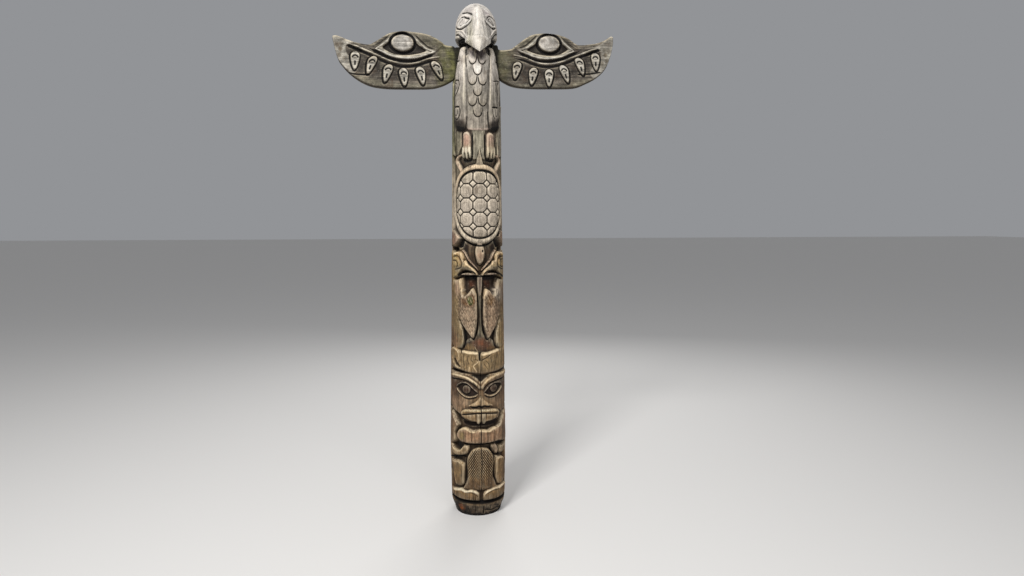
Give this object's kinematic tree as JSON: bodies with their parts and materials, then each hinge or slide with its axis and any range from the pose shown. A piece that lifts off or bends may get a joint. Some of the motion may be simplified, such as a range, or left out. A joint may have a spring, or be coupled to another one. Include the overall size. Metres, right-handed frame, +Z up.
{
  "type": "totem pole",
  "caption": "Upright carved log with stacked animal figures down its front and a pair of outspread carved wing boards near the top.",
  "frame": {"origin": "on the log's axis at its flat underside", "axes": "+Z up the log, front carved side towards -Y, wing boards along X"},
  "size_m": [1.796, 0.3917, 3.3],
  "materials": {
    "log_wood": "weathered, unpainted, checked and mossy",
    "wing_wood": "weathered grey plank, worn pale on the raised carving"
  },
  "bodies": {
    "root": {"pole": "log_wood", "wing_left": "wing_wood", "wing_right": "wing_wood"}
  },
  "joints": []
}
